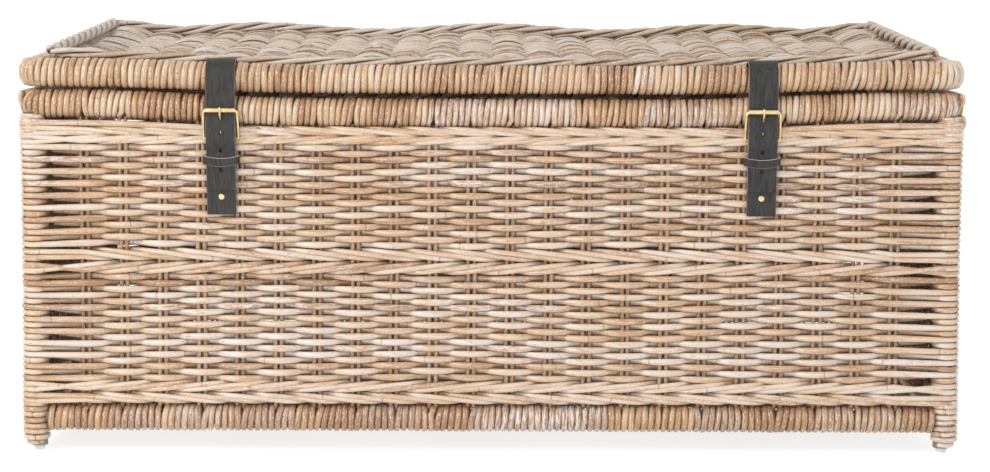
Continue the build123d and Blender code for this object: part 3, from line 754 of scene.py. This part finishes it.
def lid_border():
    """Twisted canes along the lid's four edges."""
    cane = Cane()
    x = np.linspace(-BORDER_X, BORDER_X, 150)
    up = np.array([0, 0, 1.0])
    lift = 4.5 * smooth((np.abs(x) - 400) / 66)
    front = np.stack([x, np.full(150, -BORDER_Y), BORDER_Z - sag_at(x, LID_SAG) + lift], axis=-1)
    back = np.stack([-x, np.full(150, BORDER_Y), back_border_z(x)], axis=-1)
    twisted(cane, front, up, 150, 3.2, 3.1)
    twisted(cane, back, up, 110, 3.2, 3.1, 0.45, 1.0)
    y = np.linspace(-BORDER_Y - 3, BORDER_Y + 3, 90)
    for sx in (-1, 1):
        z = SIDE_BORDER_Z + 1.0 + sx * y / BORDER_Y
        side = np.stack([np.full(90, sx * BORDER_X), sx * y, z], axis=-1)
        # the side ropes take only the palest tones: a painted highlight
        twisted(cane, side, up, 76, 3.5, 4.3, 0.7, 1.0, 2)
    cane.build("lid_border_twist", "lid", "rattan_weave", LID_CANE, ["lid_border"])


def base_weave():
    """The floor: plain weave over stakes that run front to back."""
    cane = Cane()
    centre_z = (BASE_LO[2] + BASE_HI[2]) / 2
    ey = BASE_HI[1] - 1
    stakes = (np.arange(22) - 10.5) * BASE_STAKE_PITCH
    for x in stakes:
        y = np.linspace(-ey, ey, 12)
        path = np.stack([np.full(12, x), y, np.full(12, centre_z)], axis=-1)
        cane.strand(path, (0, 0, 1.0), 3.2, 1.9, rng.uniform(0.2, 0.5), 0.1, 6)
    samples = np.arange(21 * 4 + 5) / 4 - 0.5
    x = stakes[0] + samples * BASE_STAKE_PITCH
    for row in range(int(2 * ey / BASE_ROW_PITCH)):
        y = -ey + (row + 0.5) * BASE_ROW_PITCH
        wave = np.cos(math.pi * (samples + row))
        path = np.stack([x, np.full(len(x), y), centre_z + 2.9 * wave], axis=-1)
        cane.strand(path, (0, 0, 1.0), 3.3, 2.0, np.clip(rng.normal(0.5, 0.2), 0, 1), 0.4, 5)
    cane.build("base_weave", "trunk", "rattan_weave", WEAVE, ["base_panel"])


for side in WALLS:
    woven_wall(side)
rims()
rails()
posts()
lid_weave()
lid_border()
base_weave()


# ---- leather ----
def leather_material():
    s = Shader("black_leather")
    place = s.position()
    pebble = s.noise(s.scaled(place, (900, 900, 900)), detail=4.0, rough=0.6)
    scuff = s.noise(s.scaled(place, (420, 420, 55)), detail=5.0, rough=0.7)
    edge = s.split(s.attribute("look"))[0]
    colour = s.ramp(scuff, [(0.36, (0.010, 0.0096, 0.0092)), (0.66, (0.040, 0.039, 0.038))])
    colour = s.mix(edge, colour, (0.50, 0.40, 0.35))
    s.set(Base_Color=colour, Roughness=s.fit(scuff, 0.3, 0.7, 0.46, 0.66))
    s.bsdf.inputs["Specular IOR Level"].default_value = 0.36
    s.bump(pebble, 0.3, 0.0003)
    return s.material


LEATHER = leather_material()


class Band:
    """Leather strips with rounded edges, gathered into one mesh."""

    def __init__(self):
        self.co, self.faces, self.edge = [], [], []

    def strip(self, line, x, width, thickness, closed=False):
        """A strip whose middle line is (y, z) points; its section has eased edges."""
        line = np.asarray(line, float)
        if closed:
            step = np.roll(line, -1, 0) - np.roll(line, 1, 0)
        else:
            step = np.gradient(line, axis=0)
        step /= np.linalg.norm(step, axis=1)[:, None]
        normal = np.stack([-step[:, 1], step[:, 0]], axis=-1)
        w, t, e = width / 2, thickness / 2, 0.5
        across = [-w + e, 0.0, w - e, w, w, w - e, 0.0, -w + e, -w, -w]
        depth = [t, t, t, t - e, -t + e, -t, -t, -t, -t + e, t - e]
        edges = [0, 0, 0, 1, 1, 0, 0, 0, 1, 1]
        base = len(self.co)
        m, n = len(line), len(across)
        for point, out in zip(line, normal):
            for a, d, mark in zip(across, depth, edges):
                self.co.append((x + a, point[0] + out[0] * d, point[1] + out[1] * d))
                self.edge.append(mark * 0.55)
        for i in range(m if closed else m - 1):
            for j in range(n):
                k, i2 = (j + 1) % n, (i + 1) % m
                a, b = base + i * n, base + i2 * n
                self.faces.append((a + j, a + k, b + k, b + j))
        if not closed:
            self.faces.append(tuple(base + j for j in reversed(range(n))))
            self.faces.append(tuple(base + (m - 1) * n + j for j in range(n)))

    def build(self, name, replaces, body=None, drill=()):
        mesh = bpy.data.meshes.new(name)
        mesh.from_pydata([tuple(c / 1000 for c in p) for p in self.co], [], self.faces)
        look = mesh.attributes.new("look", "FLOAT_VECTOR", "POINT")
        look.data.foreach_set("vector", np.repeat(np.array(self.edge, np.float32), 3))
        bm = bmesh.new()
        bm.from_mesh(mesh)
        bmesh.ops.recalc_face_normals(bm, faces=bm.faces)
        bm.to_mesh(mesh)
        bm.free()
        mesh.materials.append(LEATHER)
        piece = bpy.data.objects.new(name, mesh)
        bpy.context.scene.collection.objects.link(piece)
        for x, y, z, r, tall in drill:
            bpy.ops.mesh.primitive_cylinder_add(
                vertices=20, radius=r / 1000, depth=0.012, location=(x / 1000, y / 1000, z / 1000),
                rotation=(math.pi / 2, 0, 0),
            )
            cutter = bpy.context.object
            cutter.scale = (1, tall / (2 * r), 1)
            cut = piece.modifiers.new("hole", "BOOLEAN")
            cut.object, cut.solver = cutter, "EXACT"
            bpy.context.view_layer.objects.active = piece
            bpy.ops.object.modifier_apply(modifier=cut.name)
            bpy.data.objects.remove(cutter)
        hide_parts(*replaces)
        if body:
            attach(piece, body)
        return piece


def rounded(points, radius, steps=6):
    """(y, z) corner points joined by arcs, sampled."""
    points = [np.array(p, float) for p in points]
    line = [points[0]]
    for before, at, after in zip(points, points[1:], points[2:]):
        a, b = before - at, after - at
        room = min(radius, 0.45 * np.linalg.norm(a), 0.45 * np.linalg.norm(b))
        a, b = a / np.linalg.norm(a) * room, b / np.linalg.norm(b) * room
        for t in np.linspace(0, 1, steps):
            line.append((1 - t) ** 2 * (at + a) + 2 * t * (1 - t) * at + t * t * (at + b))
    line.append(points[-1])
    dense = [line[0]]
    for a, b in zip(line, line[1:]):
        pieces = max(1, int(np.linalg.norm(b - a) / 3.0))
        dense += [a + (b - a) * (i + 1) / pieces for i in range(pieces)]
    return dense


def straps():
    """Both closing straps, with their base straps and keepers."""
    for side in ("left", "right"):
        tongue_lo, tongue_hi = span(f"{side}_strap_tongue")
        strap_lo, strap_hi = span(f"{side}_lid_strap")
        base_lo, base_hi = span(f"{side}_base_strap")
        x = (tongue_lo[0] + tongue_hi[0]) / 2
        width, t = tongue_hi[0] - tongue_lo[0], STRAP_T
        wrap_r = RIM_R + 0.6 + t / 2
        rim_z = strap_hi[2] - t / 2 - wrap_r
        heel_z = base_hi[2] - 4.0
        bulge_y = tongue_lo[1] + t / 2
        tab_z = strap_lo[2] + t / 2
        arc = [
            (-RIM_Y + wrap_r * math.cos(a), rim_z + wrap_r * math.sin(a))
            for a in np.linspace(0, math.pi, 20)
        ]
        top = rounded([(strap_hi[1] - t / 2, tab_z), (arc[0][0], tab_z), arc[0]], 3.0)
        down = rounded(
            [
                arc[-1],
                (arc[-1][0], heel_z + 28),
                (bulge_y, heel_z + 19),
                (bulge_y, heel_z - 5),
                (STRAP_FLAT_Y, heel_z - 14.5),
                (STRAP_FLAT_Y, tongue_lo[2]),
            ],
            14.0,
        )
        band = Band()
        band.strip(top[:-1] + arc[:-1] + down, x, width, t)
        holes = [(x, STRAP_FLAT_Y, heel_z - drop, 2.2, 4.4) for drop in (33.0, 12.5)]
        holes.append((x, -254.0, heel_z + 6.7, 2.2, 4.4))
        holes.append((x, -253.5, heel_z + 23.0, 2.2, 8.0))
        piece = band.build(f"{side}_strap_leather", [f"{side}_lid_strap", f"{side}_strap_tongue"], drill=holes)
        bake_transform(piece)
        base = Band()
        eye = [
            (BASE_STRAP_Y + EYE_R * math.sin(a), heel_z + EYE_R * math.cos(a))
            for a in np.linspace(0, TAU, 21)[:-1]
        ]
        eye_side = (width - 5.0) / 4
        for shift in (-1, 1):
            base.strip(eye, x + shift * (2.5 + eye_side), 2 * eye_side, BASE_STRAP_T, closed=True)
        flat = rounded([(BASE_STRAP_Y, base_lo[2]), (BASE_STRAP_Y, heel_z - 4)], 1.0)
        base.strip(flat, x, width, BASE_STRAP_T)
        slot = [(x, BASE_STRAP_Y, heel_z - 5.5, 2.6, 11.0)]
        base.build(f"{side}_base_leather", [f"{side}_base_strap"], body="trunk", drill=slot)
        keeper_lo, keeper_hi = span(f"{side}_strap_keeper")
        kx, ky = (keeper_hi[0] - keeper_lo[0]) / 2 + 0.6, (keeper_hi[1] - keeper_lo[1]) / 2 - 0.75
        middle_y = (keeper_hi[1] + keeper_lo[1]) / 2
        mid_z = (keeper_hi[2] + keeper_lo[2]) / 2
        keeper_ring(side, x, middle_y, mid_z, kx, ky, (keeper_hi[2] - keeper_lo[2]) / 2)


def keeper_ring(side, x, y, z, kx, ky, half):
    """The keeper: a leather loop round the strap, bowed in front."""
    corner = 2.0
    loop = []
    for cx, cy, a0 in ((1, 1, 0), (-1, 1, 90), (-1, -1, 180), (1, -1, 270)):
        for a in np.radians(np.linspace(a0, a0 + 90, 5)):
            px = cx * (kx - corner) + corner * math.cos(a)
            py = cy * (ky - corner) + corner * math.sin(a)
            loop.append((px, py))
    dense = []
    for (ax, ay), (bx, by) in zip(loop, loop[1:] + loop[:1]):
        pieces = max(1, int(math.hypot(bx - ax, by - ay) / 4))
        for share in (i / pieces for i in range(pieces)):
            dense.append((ax + (bx - ax) * share, ay + (by - ay) * share))
    co, faces, edge = [], [], []
    n = len(dense)
    t, e = 0.75, 0.7
    section = [(-t, -half), (-t, half), (t, half), (t, half - e), (t, e - half), (t, -half)]
    pale = [0.2, 0.9, 1.0, 0.0, 0.0, 0.35]
    for i, (px, py) in enumerate(dense):
        nx, ny = dense[(i + 1) % n][1] - dense[i - 1][1], dense[i - 1][0] - dense[(i + 1) % n][0]
        length = math.hypot(nx, ny)
        droop = 1.0 - 3.0 * math.cos(math.pi * px / (2 * kx)) ** 0.7 if py < 0 else 0.0
        for (d, h), mark in zip(section, pale):
            co.append((x + px + nx / length * d, y + py + ny / length * d, z + h + droop))
            edge.append(mark)
    for i in range(n):
        for j in range(6):
            a, b = i * 6 + j, i * 6 + (j + 1) % 6
            c, d = ((i + 1) % n) * 6 + (j + 1) % 6, ((i + 1) % n) * 6 + j
            faces.append((a, b, c, d))
    ring = Band()
    ring.co, ring.faces, ring.edge = co, faces, edge
    ring.build(f"{side}_keeper_leather", [f"{side}_strap_keeper"], body=f"{side}_keeper")


def hinge_leathers():
    """Three leather straps between the body and the lid."""
    lid_lo, lid_hi = span("hinge_straps_lid")
    body_lo, body_hi = span("hinge_straps_body")
    y = (lid_lo[1] + lid_hi[1]) / 2
    for name, x in (("left", -320.0), ("middle", 0.0), ("right", 320.0)):
        band = Band()
        band.strip(rounded([(y, body_lo[2]), (y, lid_hi[2])], 1.0), x, 32.0, 2.5)
        piece = band.build(f"hinge_leather_{name}", ["hinge_straps_lid", "hinge_straps_body"])
        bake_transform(piece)


straps()
hinge_leathers()


# ---- finishes for the CAD nodes that stay ----
def plain_material(name, scale, low, high, rough, metal=0.0, bump=0.2, level=0.5):
    s = Shader(name)
    place = s.position()
    tint = s.noise(s.scaled(place, scale), detail=4.0, rough=0.6)
    fine = s.noise(s.scaled(place, (1200, 1200, 1200)), detail=2.0)
    s.set(Base_Color=s.ramp(tint, [(0.3, low), (0.7, high)]))
    s.set(Roughness=s.fit(tint, 0.3, 0.7, rough - 0.06, rough + 0.1))
    s.bsdf.inputs["Metallic"].default_value = metal
    s.bsdf.inputs["Specular IOR Level"].default_value = level
    s.bump(fine, bump, 0.0002)
    return s.material


POLE = plain_material("stained_pole", (30, 30, 6), (0.10, 0.11, 0.07), (0.24, 0.25, 0.18), 0.6)
BRASS = plain_material("brass_wire", (90, 90, 90), (0.66, 0.49, 0.24), (0.86, 0.69, 0.39), 0.3, 1.0, 0.08)
GLIDE = plain_material("cloudy_plastic", (200, 200, 200), (0.62, 0.68, 0.64), (0.80, 0.84, 0.81), 0.35)
GLIDE.node_tree.nodes["Principled BSDF"].inputs["Transmission Weight"].default_value = 0.35
for name, node in nodes.items():
    if node.hide_render:
        continue
    if name == "foot_glides":
        finish = GLIDE
    elif "stud" in name or "buckle" in name:
        finish = BRASS
    else:
        finish = POLE
    node.data.materials.clear()
    node.data.materials.append(finish)


# ---- floor, light and camera ----
def floor():
    s = Shader("pale_floor")
    tint = s.noise(s.scaled(s.position(), (3, 3, 3)), detail=3.0)
    s.set(Base_Color=s.ramp(tint, [(0.3, (0.30, 0.30, 0.30)), (0.7, (0.32, 0.32, 0.32))]))
    s.bsdf.inputs["Emission Color"].default_value = (1, 1, 1, 1)
    s.bsdf.inputs["Emission Strength"].default_value = 0.78
    s.bsdf.inputs["Roughness"].default_value = 0.8
    s.bsdf.inputs["Specular IOR Level"].default_value = 0.2
    mesh = bpy.data.meshes.new("floor")
    size = 14.0
    corners = [(-size, -size, 0), (size, -size, 0), (size, size, 0), (-size, size, 0)]
    mesh.from_pydata(corners, [], [(0, 1, 2, 3)])
    mesh.materials.append(s.material)
    plane = bpy.data.objects.new("floor", mesh)
    bpy.context.scene.collection.objects.link(plane)


def area_light(name, place, target, size, power, colour=(1, 1, 1)):
    data = bpy.data.lights.new(name, "AREA")
    data.shape, data.size, data.energy, data.color = "SQUARE", size, power, colour
    light = bpy.data.objects.new(name, data)
    light.location = place
    light.rotation_euler = (Vector(target) - Vector(place)).to_track_quat("-Z", "Y").to_euler()
    bpy.context.scene.collection.objects.link(light)


floor()
WARM = (1.0, 0.98, 0.95)
area_light("key", (-2.2, -1.9, 2.1), (0, 0, 0.25), 1.1, 36, WARM)
area_light("front_soft", (-1.4, -2.8, 0.6), (0, 0, 0.2), 0.3, 18, WARM)
area_light("front_fill", (1.6, -3.0, 1.5), (0, 0, 0.2), 2.4, 8)
world = bpy.data.worlds.new("studio")
bpy.context.scene.world = world
world.use_nodes = True
world.node_tree.nodes["Background"].inputs["Color"].default_value = (1, 1, 1, 1)
world.node_tree.nodes["Background"].inputs["Strength"].default_value = 1.0
bpy.context.scene.view_settings.view_transform = "Standard"

camera_data = bpy.data.cameras.new("camera")
camera = bpy.data.objects.new("camera", camera_data)
bpy.context.scene.collection.objects.link(camera)
camera_data.lens = 85.8
camera_data.sensor_width = 36.0
camera_data.shift_y = -0.05
PITCH, YAW, ROLL = math.radians(7.65), math.radians(0.152), math.radians(0.239)
ahead = Vector((math.sin(YAW) * math.cos(PITCH), math.cos(YAW) * math.cos(PITCH), -math.sin(PITCH)))
across = ahead.cross(Vector((0, 0, 1))).normalized()
above = across.cross(ahead)
across, above = (
    across * math.cos(ROLL) + above * math.sin(ROLL),
    above * math.cos(ROLL) - across * math.sin(ROLL),
)
turn = Matrix((across, above, -ahead)).transposed()
camera.matrix_world = Matrix.Translation((-0.003, -2.717, 0.620)) @ turn.to_4x4()
bpy.context.scene.camera = camera
